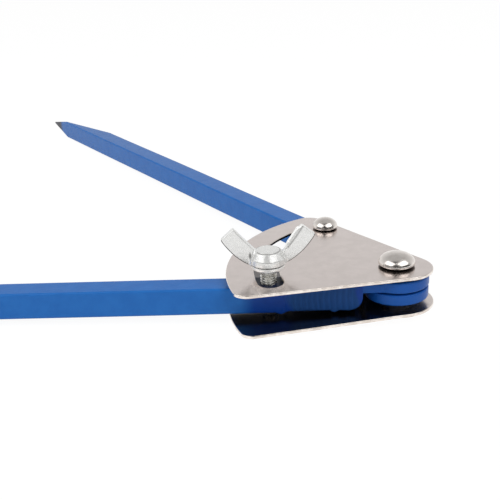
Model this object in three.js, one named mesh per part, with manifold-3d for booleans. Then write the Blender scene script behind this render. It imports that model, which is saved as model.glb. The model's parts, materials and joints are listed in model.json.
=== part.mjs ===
// Divider caliper: two square steel legs with ground points, joined at a pivot rivet between
// two thin sector plates. The rear leg is riveted to the plates. The front leg swings, and a
// wing screw in its tapped hole rides in the arc slot of the top plate and clamps it there.
//
// Millimetres. The tool is built level first: pivot axis on Z, undersides of the legs at z = 0,
// the front leg along -X, and angles counted from -X towards +Y. It is then tipped by about a
// degree so that it lies on its two leg ends and on the rear rivet, with z = 0 on the table.
import * as THREE from 'three';
import { mergeVertices } from 'three/addons/utils/BufferGeometryUtils.js';
import Module from 'manifold-3d';

const wasm = await Module();
wasm.setup();

const DEGREE = Math.PI / 180;

// Legs, both from the same square bar
const leg_length = 326;
const leg_width = 10;
const leg_height = 10;
const leg_edge_radius = 0.8;
const closed_leg_gap = 0.3;
const opening_angle = 54.9 * DEGREE;

// Ground point: a long slant on the outer side, then a short nib on the inner edge
const point_slant_length = 64;
const nib_length = 19;
const nib_root_width = 1.6;
const nib_end_width = 0.4;
const nib_end_height = 0.7;
const nib_end_share = 0.63;

// Forged eyes, the front one above the rear one, and the shoulders where the bars begin
const eye_radius = 11.5;
const eye_gap = 0.7;
const eye_to_top_plate = 1.25;
const eye_to_bottom_plate = 2.65;
const eye_edge_chamfer = 0.5;
const shoulder_reach = 12.9;
const shoulder_radius = 5;

// Swaging marks: a row of shallow upright grooves in the outer side of each root, and two burrs
// below the front leg, at their reaches from the pivot
const groove_count = 12;
const groove_first_reach = 16.5;
const groove_pitch = 2;
const groove_width = 0.8;
const groove_depth = 0.25;
const near_burr_reach = 22.8;
const near_burr_drop = 0.5;
const far_burr_reach = 41.7;
const far_burr_drop = 0.7;
const burr_width = 3;
const burr_depth = 1.6;

// Sector plates
const plate_thickness = 1.1;
const plate_radius = 61.2;
const nose_radius = 10.35;
const nose_forward = 2.35;
const nose_sideways = -1.5;
const front_edge_angle = -11.35 * DEGREE;
const rear_edge_lag = 2.8 * DEGREE;
const front_corner_radius = 5.5;
const rear_corner_radius = 6.5;
const leg_to_top_plate = 1.95;
const leg_to_bottom_plate = 0.55;

// The bottom plate is cut wider around the pivot, with its arc struck from beside the pivot, and
// is sprung away from the loose front leg beyond a line beside the rivets
const bottom_plate_radius = 60.6;
const bottom_arc_forward = -0.7;
const bottom_arc_sideways = 5.5;
const bottom_nose_radius = 13.8;
const bottom_nose_forward = -0.25;
const bottom_nose_sideways = 0.8;
const bottom_front_edge_angle = -10.5 * DEGREE;
const bottom_front_corner_radius = 4.5;
const bend_to_pivot_tail = 1.4;
const bend_angle = 2.15 * DEGREE;

// Arc slot of the top plate, for the swing from nearly closed to a little wider than at rest. It
// was cut a little outside the circle on which the screw moves.
const slot_width = 9;
const slot_outward_shift = 0.5;
const slot_end_gap = 0.5;
const slot_rear_spare = 0.6;
const opening_travel = 10 * DEGREE;
const closed_angle = 5.9 * DEGREE;

// Rivets, with a shoulder that keeps the plates apart
const clamp_reach = 45.8;
const rear_rivet_reach = 46.1;
const rear_rivet_inset = 3.55;
const pivot_shank_radius = 4;
const pivot_shoulder_step = 1;
const pivot_head_radius = 6.6;
const pivot_head_height = 4.65;
const pivot_rim_rise = 0.85;
const rear_shank_radius = 2.2;
const rear_shoulder_step = 0.35;
const rear_head_radius = 4.95;
const rear_head_height = 3.95;
const rear_rim_rise = 0.5;
const head_rim_tuck = 1.1;
const tail_height = 2;
const tail_radius_share = 0.85;
const tail_flat_share = 0.6;

// Wing screw: a cast head on a threaded stud
const stud_radius = 3;
const stud_tip_inset = 1.2;
const stud_tip_chamfer = 0.8;
const stud_socket_depth = 5;
const hub_lift = 1.55;
const hub_foot_radius = 4;
const hub_flare_radius = 6;
const hub_flare_height = 1.5;
const hub_foot_height = 2.85;
const hub_band_radius = 6.2;
const hub_band_height = 2.25;
const hub_top_radius = 4.7;
const hub_height = 7.7;
const hub_boss_radius = 4.05;
const hub_boss_height = 0.25;

// Wings: reaches from the axis of the screw and heights above the foot of the hub
const wing_span = 33.6;
const wing_thickness = 2.5;
const wing_height = 16.65;
const wing_crest_reach = 11.7;
const wing_heel_height = 12.75;
const wing_belly_reach = 12.1;
const wing_belly_height = 4.95;
const wing_hollow_reach = 7.4;
const wing_hollow_height = 10.55;
const wing_root_reach = 4.6;
const wing_root_rise = 1;
const wing_root_share = 0.9;
const wing_turn = 4.6 * DEGREE;

// Gap between pieces that touch or turn on each other
const clearance = 0.3;

// Length by which a cutting solid runs past what it cuts, and the facets of round shapes
const overrun = 2;
const round_segments = 48;
const arc_segments = 40;
const fillet_segments = 5;

// Heights worked out from the sizes above
const leg_inner = closed_leg_gap / 2;
const leg_outer = leg_inner + leg_width;
const leg_middle = leg_inner + leg_width / 2;
const top_plate_bottom = leg_height + leg_to_top_plate;
const top_plate_top = top_plate_bottom + plate_thickness;
const bottom_plate_top = -leg_to_bottom_plate;
const bottom_plate_bottom = bottom_plate_top - plate_thickness;
const upper_eye_top = top_plate_bottom - eye_to_top_plate;
const lower_eye_bottom = bottom_plate_top + eye_to_bottom_plate;
const eye_thickness = (upper_eye_top - lower_eye_bottom - eye_gap) / 2;
const hub_bottom = top_plate_top + hub_lift;

// Sizes that follow from the rivets and from the opening
const pivot_shoulder_radius = pivot_shank_radius + pivot_shoulder_step;
const rear_shoulder_radius = rear_shank_radius + rear_shoulder_step;
const bend_offset = pivot_head_radius * tail_radius_share + bend_to_pivot_tail;
const rear_edge_angle = opening_angle - rear_edge_lag;
const closing_travel = opening_angle - closed_angle;

// Circle on which the clamp hole lies, the place of the rear rivet, and their angles
const clamp_radius = Math.hypot(clamp_reach, leg_middle);
const clamp_lag = Math.atan2(leg_middle, clamp_reach);
const rear_rivet_sideways = leg_inner + rear_rivet_inset;
const rear_rivet_radius = Math.hypot(rear_rivet_reach, rear_rivet_sideways);
const rear_rivet_angle = opening_angle + Math.atan2(rear_rivet_sideways, rear_rivet_reach);

// Materials
function material(color, metalness, roughness) {
  return new THREE.MeshStandardMaterial({ color, metalness, roughness });
}
const blue_paint = material(0x1f56a8, 0, 0.35);
const plated_steel = material(0xc6c0bb, 1, 0.25);
const bright_steel = material(0xd2cdc6, 1, 0.12);
const cast_zinc = material(0xdcdcd8, 1, 0.38);
const zinc_thread = material(0xb4b2aa, 1, 0.3);

// Point at a radius and an angle, counted from -X towards +Y
function polar(radius, angle) {
  return new THREE.Vector2(-radius * Math.cos(angle), radius * Math.sin(angle));
}

const rear_rivet_place = polar(rear_rivet_radius, rear_rivet_angle);

// Closed mesh to solid and back, so that solids can be joined and cut
function solidOf(geometry) {
  const bare = geometry.clone();
  bare.deleteAttribute('normal');
  bare.deleteAttribute('uv');
  const merged = mergeVertices(bare);
  const vertProperties = Float32Array.from(merged.attributes.position.array);
  const triVerts = Uint32Array.from(merged.index.array);
  return new wasm.Manifold(new wasm.Mesh({ numProp: 3, vertProperties, triVerts }));
}

function geometryOf(solid) {
  const mesh = solid.getMesh();
  const geometry = new THREE.BufferGeometry();
  geometry.setAttribute('position', new THREE.BufferAttribute(mesh.vertProperties, 3));
  geometry.setIndex(new THREE.BufferAttribute(mesh.triVerts, 1));
  const flat = geometry.toNonIndexed();
  flat.computeVertexNormals();
  return flat;
}

function joined(first, ...others) {
  return others.reduce((sum, other) => sum.add(other), first);
}

function cut(first, ...tools) {
  return tools.reduce((left, tool) => left.subtract(tool), first);
}

// Slab of an outline drawn in X and Y, from one height to another
function slab(shape, low, high) {
  const depth = high - low;
  const options = { depth, bevelEnabled: false, curveSegments: arc_segments };
  return new THREE.ExtrudeGeometry(shape, options).translate(0, 0, low);
}

// Slab of an outline drawn in X and Z, spread evenly about the plane y = 0
function uprightSlab(shape, thickness) {
  return slab(shape, -thickness / 2, thickness / 2).rotateX(Math.PI / 2);
}

// Box from its lowest to its highest corner
function box(low, high) {
  const size = new THREE.Vector3().subVectors(high, low);
  const middle = new THREE.Vector3().addVectors(low, high).multiplyScalar(1 / 2);
  return new THREE.BoxGeometry(size.x, size.y, size.z).translate(middle.x, middle.y, middle.z);
}

// Upright cylinder between two heights
function rod(radius, low, high) {
  const height = high - low;
  const geometry = new THREE.CylinderGeometry(radius, radius, height, round_segments);
  return geometry.rotateX(Math.PI / 2).translate(0, 0, (low + high) / 2);
}

// Solid of revolution about Z from points of radius and height, from axis to axis, upwards
function turned(points) {
  return new THREE.LatheGeometry(points, round_segments).rotateX(Math.PI / 2);
}

function point(x, y) {
  return new THREE.Vector2(x, y);
}

// Rounded rectangle between two corners
function roundedRectangle(low, high, radius) {
  const shape = new THREE.Shape();
  shape.absarc(high.x - radius, low.y + radius, radius, -Math.PI / 2, 0);
  shape.absarc(high.x - radius, high.y - radius, radius, 0, Math.PI / 2);
  shape.absarc(low.x + radius, high.y - radius, radius, Math.PI / 2, Math.PI);
  shape.absarc(low.x + radius, low.y + radius, radius, Math.PI, Math.PI * 3 / 2);
  return shape;
}

// Section of the bar with rounded edges, run along the whole leg
function legSection(side) {
  const low = point(Math.min(side * leg_inner, side * leg_outer), 0);
  const high = point(Math.max(side * leg_inner, side * leg_outer), leg_height);
  const shape = roundedRectangle(low, high, leg_edge_radius);
  const options = { depth: leg_length, bevelEnabled: false, curveSegments: fillet_segments };
  const turn = new THREE.Matrix4().set(0, 0, 1, 0, 1, 0, 0, 0, 0, 1, 0, 0, 0, 0, 0, 1);
  return new THREE.ExtrudeGeometry(shape, options).applyMatrix4(turn);
}

// Plan of the bar: straight inner side, outer side slanted to the point
function legPlan(side) {
  const shape = new THREE.Shape([
    point(shoulder_reach, side * leg_inner),
    point(leg_length, side * leg_inner),
    point(leg_length, side * (leg_inner + nib_end_width)),
    point(leg_length - nib_length, side * (leg_inner + nib_root_width)),
    point(leg_length - point_slant_length, side * leg_outer),
    point(shoulder_reach, side * leg_outer),
  ]);
  return slab(shape, 0, leg_height);
}

// Side view of the bar: rounded shoulder away from the eye, and the nib tapered from both faces
function legProfile(eye_is_upper) {
  const nib_middle = leg_height * nib_end_share;
  const nib_root = leg_length - nib_length;
  const shape = new THREE.Shape();
  if (eye_is_upper) {
    shape.moveTo(shoulder_reach, leg_height);
    shape.lineTo(shoulder_reach, shoulder_radius);
    shape.absarc(shoulder_reach + shoulder_radius, shoulder_radius, shoulder_radius,
      Math.PI, Math.PI * 3 / 2);
  } else {
    shape.absarc(shoulder_reach + shoulder_radius, leg_height - shoulder_radius, shoulder_radius,
      Math.PI / 2, Math.PI);
    shape.lineTo(shoulder_reach, 0);
  }
  shape.lineTo(nib_root, 0);
  shape.lineTo(leg_length, nib_middle - nib_end_height / 2);
  shape.lineTo(leg_length, nib_middle + nib_end_height / 2);
  shape.lineTo(nib_root, leg_height);
  return uprightSlab(shape, 2 * leg_outer + overrun);
}

// Round eye with broken edges and the flat neck that joins it to the bar
function legEye(side, low, high) {
  const eye = turned([
    point(0, low),
    point(eye_radius - eye_edge_chamfer, low),
    point(eye_radius, low + eye_edge_chamfer),
    point(eye_radius, high - eye_edge_chamfer),
    point(eye_radius - eye_edge_chamfer, high),
    point(0, high),
  ]);
  const near = new THREE.Vector3(0, Math.min(side * leg_inner, side * leg_outer), low);
  const far = new THREE.Vector3(shoulder_reach + shoulder_radius,
    Math.max(side * leg_inner, side * leg_outer), Math.min(high, leg_height));
  return joined(solidOf(eye), solidOf(box(near, far)));
}

// Cutters for the row of swaging grooves
function legGrooves(side) {
  const grooves = [];
  const bottom = side * (leg_outer - groove_depth);
  const outside = side * (leg_outer + overrun);
  for (let index = 0; index < groove_count; index += 1) {
    const start = groove_first_reach + index * groove_pitch;
    const low = new THREE.Vector3(start, Math.min(bottom, outside), -overrun);
    const high = new THREE.Vector3(start + groove_width, Math.max(bottom, outside),
      leg_height + overrun);
    grooves.push(solidOf(box(low, high)));
  }
  return grooves;
}

// Two burrs that the swaging pushed out below the outer edge
function legBurrs(side) {
  const burrs = [
    { reach: near_burr_reach, drop: near_burr_drop },
    { reach: far_burr_reach, drop: far_burr_drop },
  ];
  return burrs.map(({ reach, drop }) => {
    const shape = new THREE.Shape([
      point(reach - burr_width / 2, leg_edge_radius),
      point(reach, -drop),
      point(reach + burr_width / 2, leg_edge_radius),
    ]);
    const depth_middle = side * (leg_outer - leg_edge_radius - burr_depth / 2);
    return solidOf(uprightSlab(shape, burr_depth).translate(0, depth_middle, 0));
  });
}

// One leg in its own frame: along +X, with its outer side towards side times +Y
function legSolid(side, eye_is_upper, hole_place, hole_radius) {
  const eye_low = eye_is_upper ? upper_eye_top - eye_thickness : lower_eye_bottom;
  const eye_high = eye_low + eye_thickness;
  const bar = solidOf(legSection(side))
    .intersect(solidOf(legPlan(side)))
    .intersect(solidOf(legProfile(eye_is_upper)));
  const blank = joined(bar, legEye(side, eye_low, eye_high));
  const tall = leg_height + overrun;
  const pivot_hole = solidOf(rod(pivot_shoulder_radius + clearance, -overrun, tall));
  const far_hole = solidOf(rod(hole_radius, -overrun, tall)
    .translate(hole_place.x, side * hole_place.y, 0));
  const grooved = cut(blank, pivot_hole, far_hole, ...legGrooves(side));
  return eye_is_upper ? joined(grooved, ...legBurrs(side)) : grooved;
}

// Outline of a plate: a nose around the pivot, two straight edges and the outer arc
function plateShape(plan) {
  const { nose, centre } = plan;
  const front_normal = polar(1, plan.front_angle - Math.PI / 2);
  const rear_normal = polar(1, rear_edge_angle + Math.PI / 2);
  const front = plateCorner(plan, front_normal, plan.front_angle, plan.front_radius);
  const rear = plateCorner(plan, rear_normal, rear_edge_angle, rear_corner_radius);
  const front_turn = front.clone().sub(centre).angle();
  const rear_turn = rear.clone().sub(centre).angle();
  const shape = new THREE.Shape();
  shape.absarc(nose.x, nose.y, plan.nose_radius, front_normal.angle() - 2 * Math.PI,
    rear_normal.angle());
  shape.absarc(rear.x, rear.y, rear_corner_radius, rear_normal.angle(), rear_turn);
  shape.absarc(centre.x, centre.y, plan.radius, rear_turn, front_turn);
  shape.absarc(front.x, front.y, plan.front_radius, front_turn, front_normal.angle());
  return shape;
}

// Centre of a corner round that touches the outer arc and the straight edge beside it
function plateCorner(plan, normal, edge_angle, corner_radius) {
  const nose_from_centre = plan.nose.clone().sub(plan.centre);
  const sideways = plan.nose_radius + nose_from_centre.dot(normal) - corner_radius;
  const along = Math.sqrt((plan.radius - corner_radius) ** 2 - sideways ** 2);
  return plan.centre.clone().add(polar(along, edge_angle)).addScaledVector(normal, sideways);
}

const top_plan = {
  centre: point(0, 0),
  radius: plate_radius,
  nose: point(nose_forward, nose_sideways),
  nose_radius,
  front_angle: front_edge_angle,
  front_radius: front_corner_radius,
};
const bottom_plan = {
  centre: point(bottom_arc_forward, bottom_arc_sideways),
  radius: bottom_plate_radius,
  nose: point(bottom_nose_forward, bottom_nose_sideways),
  nose_radius: bottom_nose_radius,
  front_angle: bottom_front_edge_angle,
  front_radius: bottom_front_corner_radius,
};

function roundHole(centre, radius) {
  const hole = new THREE.Path();
  hole.absarc(centre.x, centre.y, radius, 0, 2 * Math.PI);
  return hole;
}

function rivetHoles() {
  return [
    roundHole(point(0, 0), pivot_shank_radius + clearance),
    roundHole(rear_rivet_place, rear_shank_radius + clearance),
  ];
}

// Arc slot beside the circle of the clamp hole, long enough for the whole swing
function arcSlot() {
  const half = slot_width / 2;
  const radius = clamp_radius + slot_outward_shift;
  const slack = (half - stud_radius - slot_end_gap) / clamp_radius;
  const front_end = -clamp_lag - opening_travel + slack;
  const rear_end = -clamp_lag + closing_travel - slack + slot_rear_spare / clamp_radius;
  const front_centre = polar(radius, front_end);
  const rear_centre = polar(radius, rear_end);
  const front_side = Math.PI - front_end;
  const rear_side = Math.PI - rear_end;
  const slot = new THREE.Path();
  slot.absarc(0, 0, radius + half, rear_side, front_side);
  slot.absarc(front_centre.x, front_centre.y, half, front_side, front_side + Math.PI);
  slot.absarc(0, 0, radius - half, front_side, rear_side, true);
  slot.absarc(rear_centre.x, rear_centre.y, half, rear_side - Math.PI, rear_side);
  return slot;
}

function topPlateGeometry() {
  const shape = plateShape(top_plan);
  shape.holes.push(...rivetHoles(), arcSlot());
  return slab(shape, top_plate_bottom, top_plate_top);
}

// Bottom plate: level around the rivets and turned down beyond the bend line
function bottomPlateGeometry() {
  const shape = plateShape(bottom_plan);
  shape.holes.push(...rivetHoles());
  const flat = solidOf(slab(shape, bottom_plate_bottom, bottom_plate_top));
  const reach = 2 * plate_radius;
  const tall = plate_thickness + overrun;
  const low = new THREE.Vector3(-reach, -reach, bottom_plate_bottom - tall);
  const high = new THREE.Vector3(bend_offset, reach, bottom_plate_top + tall);
  const bend_turn = Math.PI / 2 - rear_rivet_angle;
  const kept = solidOf(box(low, high).rotateZ(bend_turn + Math.PI));
  const near = flat.intersect(kept);
  const far = geometryOf(flat.subtract(kept))
    .rotateZ(-bend_turn)
    .translate(bend_offset, 0, -bottom_plate_top)
    .rotateY(-bend_angle)
    .translate(-bend_offset, 0, bottom_plate_top)
    .rotateZ(bend_turn);
  return geometryOf(joined(near, solidOf(far)));
}

// Rivet: domed head above the top plate, shoulder between the plates, flattened tail below
function rivetGeometry(size) {
  const { shank_radius, shoulder_radius, head_radius, head_height, rim_rise } = size;
  const seat = top_plate_top + clearance;
  const rim = seat + rim_rise;
  const tail_top = bottom_plate_bottom - clearance;
  const tail_radius = head_radius * tail_radius_share;
  const profile = [
    point(0, tail_top - tail_height),
    point(tail_radius * tail_flat_share, tail_top - tail_height),
    point(tail_radius, tail_top - tail_height / 2),
    point(tail_radius, tail_top),
    point(shank_radius, tail_top),
    point(shank_radius, bottom_plate_top + clearance),
    point(shoulder_radius, bottom_plate_top + clearance),
    point(shoulder_radius, top_plate_bottom - clearance),
    point(shank_radius, top_plate_bottom - clearance),
    point(shank_radius, seat),
    point(head_radius - head_rim_tuck, seat),
  ];
  for (let step = 0; step <= arc_segments / 4; step += 1) {
    const angle = step / (arc_segments / 4) * Math.PI / 2;
    const height = rim + (head_height - rim_rise) * Math.sin(angle);
    profile.push(point(head_radius * Math.cos(angle), height));
  }
  profile[profile.length - 1].x = 0;
  return turned(profile);
}

// Cast head of the wing screw: hub with a tapered foot, two wings, a blind socket for the stud
function wingHeadGeometry() {
  const band_bottom = hub_bottom + hub_foot_height;
  const hub_top = hub_bottom + hub_height;
  const hub = turned([
    point(0, hub_bottom),
    point(hub_foot_radius, hub_bottom),
    point(hub_flare_radius, hub_bottom + hub_flare_height),
    point(hub_band_radius, band_bottom),
    point(hub_band_radius, band_bottom + hub_band_height),
    point(hub_top_radius, hub_top),
    point(hub_boss_radius, hub_top),
    point(hub_boss_radius, hub_top + hub_boss_height),
    point(0, hub_top + hub_boss_height),
  ]);
  const socket = rod(stud_radius + clearance, hub_bottom - overrun,
    hub_bottom + stud_socket_depth + clearance);
  const wings = [0, Math.PI].map((angle) => solidOf(wingGeometry().rotateZ(angle)));
  return geometryOf(cut(joined(solidOf(hub), ...wings), solidOf(socket)));
}

// One wing in the plane y = 0, from the middle of the hub outwards and up
function wingGeometry() {
  const hub_top = hub_bottom + hub_height;
  const foot = point(hub_band_radius * wing_root_share, hub_bottom + hub_foot_height);
  const shape = new THREE.Shape();
  shape.moveTo(0, foot.y);
  shape.lineTo(foot.x, foot.y);
  shape.quadraticCurveTo(wing_belly_reach, hub_bottom + wing_belly_height,
    wing_span / 2, hub_bottom + wing_heel_height);
  shape.lineTo(wing_crest_reach, hub_bottom + wing_height);
  shape.quadraticCurveTo(wing_hollow_reach, hub_bottom + wing_hollow_height,
    wing_root_reach, hub_top + wing_root_rise);
  shape.lineTo(wing_root_reach * wing_root_share, hub_top);
  shape.lineTo(0, hub_top);
  return uprightSlab(shape, wing_thickness);
}

// Threaded stud cast into the head, screwed into the front leg
function studGeometry() {
  const tip = stud_tip_inset;
  const top = hub_bottom + stud_socket_depth;
  return turned([
    point(0, tip),
    point(stud_radius - stud_tip_chamfer, tip),
    point(stud_radius, tip + stud_tip_chamfer),
    point(stud_radius, top),
    point(0, top),
  ]);
}

// Named mesh, turned about Z and moved in the level frame of the tool
function piece(name, geometry, finish, turn = 0, place = new THREE.Vector2()) {
  const mesh = new THREE.Mesh(geometry, finish);
  mesh.name = name;
  mesh.rotation.z = turn;
  mesh.position.set(place.x, place.y, 0);
  return mesh;
}

const clamp_place = polar(clamp_radius, -clamp_lag);
const pivot_rivet_size = {
  shank_radius: pivot_shank_radius,
  shoulder_radius: pivot_shoulder_radius,
  head_radius: pivot_head_radius,
  head_height: pivot_head_height,
  rim_rise: pivot_rim_rise,
};
const rear_rivet_size = {
  shank_radius: rear_shank_radius,
  shoulder_radius: rear_shoulder_radius,
  head_radius: rear_head_radius,
  head_height: rear_head_height,
  rim_rise: rear_rim_rise,
};

const level_tool = new THREE.Group();
level_tool.add(
  piece('front_leg', geometryOf(legSolid(1, true, point(clamp_reach, leg_middle),
    stud_radius + clearance)), blue_paint, Math.PI),
  piece('rear_leg', geometryOf(legSolid(-1, false, point(rear_rivet_reach, rear_rivet_sideways),
    rear_shoulder_radius + clearance)), blue_paint, Math.PI - opening_angle),
  piece('top_plate', topPlateGeometry(), plated_steel),
  piece('bottom_plate', bottomPlateGeometry(), plated_steel),
  piece('pivot_rivet', rivetGeometry(pivot_rivet_size), bright_steel),
  piece('rear_rivet', rivetGeometry(rear_rivet_size), bright_steel, 0, rear_rivet_place),
  piece('wing_head', wingHeadGeometry(), cast_zinc, wing_turn, clamp_place),
  piece('screw_stud', studGeometry(), zinc_thread, wing_turn, clamp_place),
);

// Table plane: through the undersides of both leg ends and the tail of the rear rivet
function standNormal() {
  const contact_reach = leg_length - nib_length;
  const front_end = polar(contact_reach, 0);
  const rear_end = polar(contact_reach, opening_angle);
  const tail_bottom = bottom_plate_bottom - clearance - tail_height;
  const a = new THREE.Vector3(front_end.x, front_end.y, 0);
  const b = new THREE.Vector3(rear_end.x, rear_end.y, 0);
  const c = new THREE.Vector3(rear_rivet_place.x, rear_rivet_place.y, tail_bottom);
  const normal = new THREE.Vector3().crossVectors(b.sub(a), c.sub(a)).normalize();
  return normal.z < 0 ? normal.negate() : normal;
}

level_tool.quaternion.setFromUnitVectors(standNormal(), new THREE.Vector3(0, 0, 1));

// Origin: on the table, under the middle of the whole tool
const divider_caliper = new THREE.Group();
divider_caliper.add(level_tool);
const reach_box = new THREE.Box3().setFromObject(divider_caliper, true);
const middle = reach_box.getCenter(new THREE.Vector3());
level_tool.position.set(-middle.x, -middle.y, -reach_box.min.z);

export default divider_caliper;
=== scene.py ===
"""Divider caliper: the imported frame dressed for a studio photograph.

Every piece is worked out in the level frame of the tool, in millimetres: the pivot axis on Z, the
undersides of the legs at z = 0, the front leg along -X, and angles counted from -X towards +Y.
The tool lies on its points and on one rivet, so row() tips that frame by the degree that the
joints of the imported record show, and turns millimetres into metres.
"""

import json
from math import atan2, cos, hypot, pi, radians, sin, sqrt, tan

import bpy
import numpy as np
from mathutils import Matrix, Vector
from mathutils.geometry import delaunay_2d_cdt


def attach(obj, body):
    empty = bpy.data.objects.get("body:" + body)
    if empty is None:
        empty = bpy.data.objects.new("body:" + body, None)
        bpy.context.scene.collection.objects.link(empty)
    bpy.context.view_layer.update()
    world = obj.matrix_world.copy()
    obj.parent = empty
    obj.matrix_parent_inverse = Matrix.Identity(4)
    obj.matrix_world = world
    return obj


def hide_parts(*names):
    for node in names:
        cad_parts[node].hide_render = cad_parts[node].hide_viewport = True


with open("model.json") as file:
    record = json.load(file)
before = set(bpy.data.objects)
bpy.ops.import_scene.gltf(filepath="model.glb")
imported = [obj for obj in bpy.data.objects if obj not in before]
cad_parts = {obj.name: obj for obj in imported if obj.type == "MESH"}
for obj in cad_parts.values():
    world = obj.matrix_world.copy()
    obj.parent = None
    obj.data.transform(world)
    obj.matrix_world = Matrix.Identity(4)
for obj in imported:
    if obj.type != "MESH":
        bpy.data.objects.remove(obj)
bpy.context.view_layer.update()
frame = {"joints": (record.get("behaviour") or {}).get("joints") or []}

# Sizes of the solids, in millimetres
LEG_LENGTH, LEG_INNER, LEG_OUTER, LEG_HEIGHT, LEG_ROUND = 326.0, 0.15, 10.15, 10.0, 0.8
OPENING = radians(54.9)
SLANT_START, NIB_START = 262.0, 307.0
NIB_ROOT, NIB_END, NIB_MIDDLE, NIB_HALF = 1.75, 0.55, 6.3, 0.35
SHOULDER, SHOULDER_ROUND, NECK_START, NECK_ROUND = 12.9, 5.0, 5.8, 0.45
EYE_RADIUS, EYE_HOLE, EYE_ROUND = 11.5, 5.3, 0.7
UPPER_EYE, LOWER_EYE = (6.75, 10.7), (2.1, 6.05)
REAR_EDGE, REAR_CORNER = radians(52.1), 6.5
TOP_PLAN = {"centre": (0.0, 0.0), "radius": 61.2, "nose": (2.35, -1.5), "nose_radius": 10.35,
            "front_edge": radians(-11.35), "front_corner": 5.5}
BOTTOM_PLAN = {"centre": (-0.7, 5.5), "radius": 60.6, "nose": (-0.25, 0.8), "nose_radius": 13.8,
               "front_edge": radians(-10.5), "front_corner": 4.5}
TOP_PLATE, BOTTOM_PLATE = (11.95, 13.05), (-1.65, -0.55)
PIVOT_BORE, REAR_BORE = 4.1, 2.3
BEND_START, BEND_ANGLE, BEND_SOFTNESS = 7.0, radians(2.15), 1.2
CLAMP_REACH, LEG_MIDDLE = 45.8, 5.15
CLAMP_RADIUS, CLAMP_LAG = hypot(CLAMP_REACH, LEG_MIDDLE), atan2(LEG_MIDDLE, CLAMP_REACH)
RIVET_REACH, RIVET_SIDE = 46.1, 3.7
CLAMP_HOLE, RIVET_HOLE = 3.05, 2.85
RIVET_RADIUS, RIVET_ANGLE = hypot(RIVET_REACH, RIVET_SIDE), OPENING + atan2(RIVET_SIDE, RIVET_REACH)
SLOT_HALF, SLOT_RADIUS = 4.5, CLAMP_RADIUS + 0.5
SLOT_FRONT, SLOT_REAR = radians(-15.17), radians(42.08)
PIVOT_RIVET = {"shank": 4.0, "shoulder": 5.0, "head": 6.6, "rim_rise": 1.13, "head_height": 4.91}
REAR_RIVET = {"shank": 2.2, "shoulder": 2.55, "head": 4.95, "rim_rise": 0.78, "head_height": 4.21}
HEAD_TUCK, SHOULDER_GAP, SEAT_GAP = 1.1, 0.3, 0.02
TAIL_SHARE, TAIL_FLAT_SHARE, TAIL_EDGE, TAIL_END = 0.85, 0.62, -2.9, -3.95
HUB_FOOT, HUB_HEIGHT, SOCKET_RADIUS, SOCKET_HEIGHT, AXIS_GAP = 14.6, 7.7, 3.3, 5.3, 0.2
STUD_LOW, STUD_HIGH, STUD_ROOT, THREAD_DEPTH, THREAD_PITCH = 1.2, 19.6, 2.43, 0.55, 1.0

# Wings of the screw: half thickness, edge and end rounds, and the fillet at the hub. Their lower and upper
# edges are curves of three points (reach, height above the hub's foot), and the listed columns of the section
# carry a painted line of shade.
WING_TURN = radians(4.6)
WING_HALF, WING_EDGE, WING_END, WING_FILLET = 1.25, 0.42, 0.4, 0.9
RIGHT_WING = {"turn": WING_TURN, "lower_curve": ((5.2, 2.4), (12.1, 5.2), (16.8, 12.95)),
              "upper_curve": ((4.8, 6.6), (8.0, 10.1), (12.2, 16.65)),
              "shaded_columns": [0, 1, 28, 29, 30, 31], "ridge": 1.1, "has_dark_spot": False}
LEFT_WING = {"turn": WING_TURN + pi, "lower_curve": ((5.2, 2.1), (11.6, 4.8), (16.3, 12.55)),
             "upper_curve": ((3.0, 7.0), (7.0, 10.5), (11.8, 16.5)),
             "shaded_columns": [21, 22, 23, 24], "ridge": 0.2, "has_dark_spot": True}

# Swaged root of the front leg: pitch of the ribs, and reach, half width and drop of both burrs
RIB_PITCH = 2.0
BURRS = (22.8, 1.5, 0.5), (41.7, 1.9, 0.7)

# Camera, worked out from the photograph in the level frame of the tool
CAMERA_PLACE = np.array([-39.64, -287.59, 136.51])
CAMERA_HEADING, CAMERA_PITCH, CAMERA_ROLL = radians(2.498), radians(21.967), radians(-2.538)
CAMERA_LENS, SENSOR = 62.64, 36.0

# Lamps, in metres of the row frame
LAMP_TARGET, LAMP_SIZE, LAMP_POWER = (0.1, -0.1, 0), (0.95, 0.8), 4.4
MILLIMETRE = 0.001


# ---- frame of the tool

def tool_frame(joints):
    """Origin and the three unit axes of the level frame, from both joints of the record.

    The pivot joint gives the up axis, and its point lies half way up the two eyes. The flat
    direction from the pivot to the screw makes CLAMP_LAG with -X.
    """
    joint_height = (LOWER_EYE[0] + UPPER_EYE[1]) / 2 * MILLIMETRE
    swing, screw = (next(joint for joint in joints if joint["name"] == name)
                    for name in ("leg_swing", "wing_screw_turn"))
    pivot, clamp, up = (np.array(values, float) for values in (swing["pos_m"], screw["pos_m"], swing["axis"]))
    up /= np.linalg.norm(up)
    along = clamp - pivot
    along -= up * (along @ up)
    along /= np.linalg.norm(along)
    across = np.cross(up, along)
    c, s = cos(CLAMP_LAG), sin(CLAMP_LAG)
    return pivot - up * joint_height, np.array([s * across - c * along, -s * along - c * across, up])


ORIGIN, AXES = tool_frame(frame["joints"])


def row(points):
    """Points of the level frame, in millimetres, as points of the row frame, in metres."""
    return ORIGIN + np.asarray(points, float) @ AXES * MILLIMETRE


def turned(angle):
    """Matrix that turns rows of points about Z, from +X towards +Y."""
    c, s = cos(angle), sin(angle)
    return np.array([[c, s, 0], [-s, c, 0], [0, 0, 1]])


def polar(radius, angle):
    """Flat point at a radius and an angle that is counted from -X towards +Y."""
    return np.stack([-np.cos(angle) * radius, np.sin(angle) * radius], -1)


# ---- surfaces

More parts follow.
